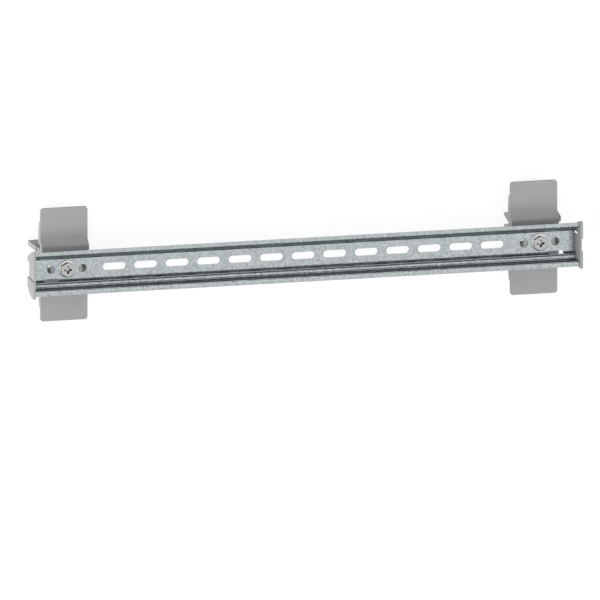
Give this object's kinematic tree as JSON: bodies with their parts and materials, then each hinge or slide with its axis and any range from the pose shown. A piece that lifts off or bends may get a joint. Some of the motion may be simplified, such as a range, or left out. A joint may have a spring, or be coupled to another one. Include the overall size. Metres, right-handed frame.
{
  "type": "DIN rail assembly",
  "caption": "Slotted 35 mm top-hat mounting rail screwed to a moulded end bracket at each end, for clip-on electrical devices.",
  "frame": {"origin": "middle of the bounding box's base, under the middle of the rail, on the plane that the brackets' backs rest on", "axes": "+X along the rail, from the left end to the right one; +Y across the rail, up when it hangs on a wall; +Z out of the rail's open mouth"},
  "size_m": [0.4362, 0.09, 0.0545],
  "materials": {
    "rail_steel": "galvanised, satin with a faint spangle",
    "bracket_plastic": "moulded, fine matt",
    "screw_steel": "zinc plated, satin"
  },
  "bodies": {
    "root": {"rail": "rail_steel", "bracket_left": "bracket_plastic", "bracket_right": "bracket_plastic", "screw_left": "screw_steel", "screw_right": "screw_steel"}
  },
  "joints": []
}
